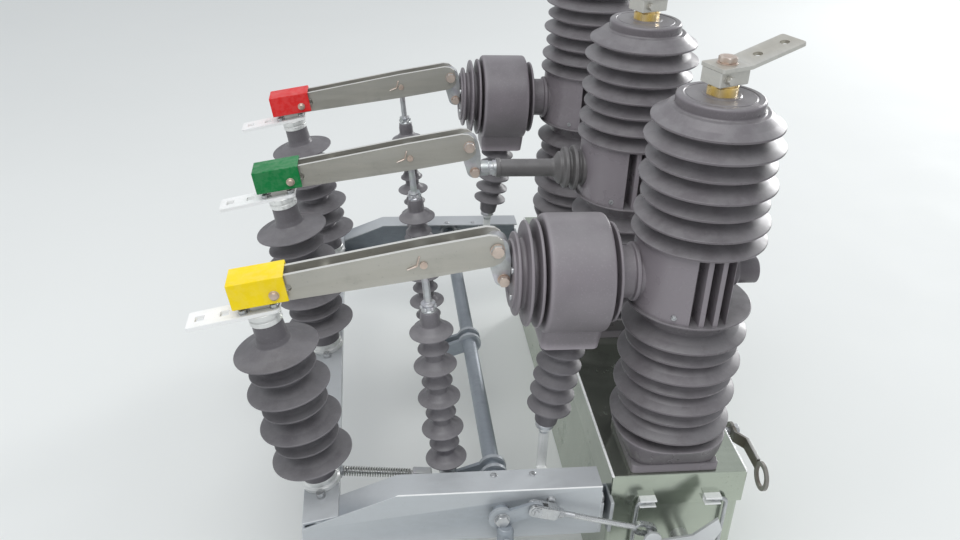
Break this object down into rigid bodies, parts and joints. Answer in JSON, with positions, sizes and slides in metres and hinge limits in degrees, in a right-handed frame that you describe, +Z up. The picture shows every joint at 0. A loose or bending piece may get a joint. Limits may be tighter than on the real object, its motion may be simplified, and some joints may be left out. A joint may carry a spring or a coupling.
{
  "type": "outdoor vacuum circuit breaker with disconnector",
  "caption": "Three-phase outdoor vacuum circuit breaker: ribbed poles on a mechanism box, with a blade disconnector on tilted post insulators driven by a cranked shaft and a side lever.",
  "frame": {"origin": "on the ground under the middle pole", "axes": "+X from the disconnector to the back of the box, +Y along the row of poles, +Z up"},
  "size_m": [0.7777, 0.8948, 0.8127],
  "materials": {
    "paint": "smooth",
    "paint_dark": "smooth",
    "epoxy": "matt",
    "epoxy_light": "matt",
    "brass": "machined",
    "copper": "tin-plated",
    "terminal": "tin-plated",
    "zinc": "zinc-plated",
    "phase_yellow": "smooth",
    "phase_green": "smooth",
    "phase_red": "smooth",
    "arm_green": "smooth"
  },
  "bodies": {
    "frame": {"mechanism_box": "paint", "box_lid": "paint", "pole_column_a": "epoxy", "terminal_stud_a": "brass", "top_terminal_a": "terminal", "hinge_contact_a": "copper", "post_insulator_a": "epoxy", "load_terminal_a": "terminal", "pole_column_b": "epoxy", "terminal_stud_b": "brass", "top_terminal_b": "terminal", "hinge_contact_b": "copper", "post_insulator_b": "epoxy", "load_terminal_b": "terminal", "pole_column_c": "epoxy", "terminal_stud_c": "brass", "top_terminal_c": "terminal", "hinge_contact_c": "copper", "post_insulator_c": "epoxy", "load_terminal_c": "terminal", "current_transformer_a": "epoxy", "current_transformer_c": "epoxy", "conductor_arm_b": "arm_green", "support_insulator_a": "epoxy", "support_insulator_c": "epoxy", "support_leg_a": "zinc", "support_leg_c": "zinc", "side_beam_near": "paint", "side_beam_far": "paint", "cross_member": "paint", "beam_bracket_near": "paint", "beam_bracket_far": "paint", "shaft_bearings": "zinc", "lever_stud": "zinc", "spring_buffer": "zinc", "ring_lever_stud": "zinc", "bail_handle": "zinc", "bail_brackets": "paint"},
    "shaft": {"isolator_shaft": "paint_dark"},
    "link": {"link_rod": "zinc"},
    "lever": {"operating_lever": "zinc"},
    "ring": {"ring_lever": "zinc"},
    "blade_a": {"switch_blade_a": "copper", "contact_cover_a": "phase_yellow"},
    "drive_a": {"drive_insulator_a": "epoxy_light"},
    "blade_b": {"switch_blade_b": "copper", "contact_cover_b": "phase_green"},
    "drive_b": {"drive_insulator_b": "epoxy_light"},
    "blade_c": {"switch_blade_c": "copper", "contact_cover_c": "phase_red"},
    "drive_c": {"drive_insulator_c": "epoxy_light"}
  },
  "joints": [
    {"name": "shaft_turn", "type": "hinge", "parent": "frame", "child": "shaft", "pos_m": [-0.245, 0, 0.192], "axis": [0, 1, 0], "range_deg": [0, 72]},
    {"name": "blade_a_turn", "type": "hinge", "parent": "frame", "child": "blade_a", "pos_m": [-0.259, -0.34, 0.558], "axis": [0, 1, 0], "range_deg": [0, 50]},
    {"name": "drive_a_turn", "type": "hinge", "parent": "shaft", "child": "drive_a", "pos_m": [-0.30702, -0.34, 0.16943], "axis": [0, 1, 0], "range_deg": [-73, 0]},
    {"name": "blade_b_turn", "type": "hinge", "parent": "frame", "child": "blade_b", "pos_m": [-0.259, 0, 0.558], "axis": [0, 1, 0], "range_deg": [0, 50]},
    {"name": "drive_b_turn", "type": "hinge", "parent": "shaft", "child": "drive_b", "pos_m": [-0.30702, 0, 0.16943], "axis": [0, 1, 0], "range_deg": [-73, 0]},
    {"name": "blade_c_turn", "type": "hinge", "parent": "frame", "child": "blade_c", "pos_m": [-0.259, 0.34, 0.558], "axis": [0, 1, 0], "range_deg": [0, 50]},
    {"name": "drive_c_turn", "type": "hinge", "parent": "shaft", "child": "drive_c", "pos_m": [-0.30702, 0.34, 0.16943], "axis": [0, 1, 0], "range_deg": [-73, 0]},
    {"name": "link_turn", "type": "hinge", "parent": "shaft", "child": "link", "pos_m": [-0.19935, -0.436, 0.20683], "axis": [0, 1, 0], "range_deg": [-75, 0]},
    {"name": "lever_turn", "type": "hinge", "parent": "frame", "child": "lever", "pos_m": [0.022, -0.454, 0.112], "axis": [0, 1, 0], "range_deg": [-40, 0]},
    {"name": "ring_turn", "type": "hinge", "parent": "frame", "child": "ring", "pos_m": [0.117, -0.3, 0.215], "axis": [1, 0, 0], "range_deg": [-45, 45]}
  ],
  "couplings": [
    {"joint": "blade_a_turn", "follows": "shaft_turn", "ratio": 0.6907},
    {"joint": "drive_a_turn", "follows": "shaft_turn", "ratio": -1.0031},
    {"joint": "blade_b_turn", "follows": "shaft_turn", "ratio": 0.6907},
    {"joint": "drive_b_turn", "follows": "shaft_turn", "ratio": -1.0031},
    {"joint": "blade_c_turn", "follows": "shaft_turn", "ratio": 0.6907},
    {"joint": "drive_c_turn", "follows": "shaft_turn", "ratio": -1.0031},
    {"joint": "link_turn", "follows": "shaft_turn", "ratio": -1.034},
    {"joint": "lever_turn", "follows": "shaft_turn", "ratio": -0.5497}
  ]
}
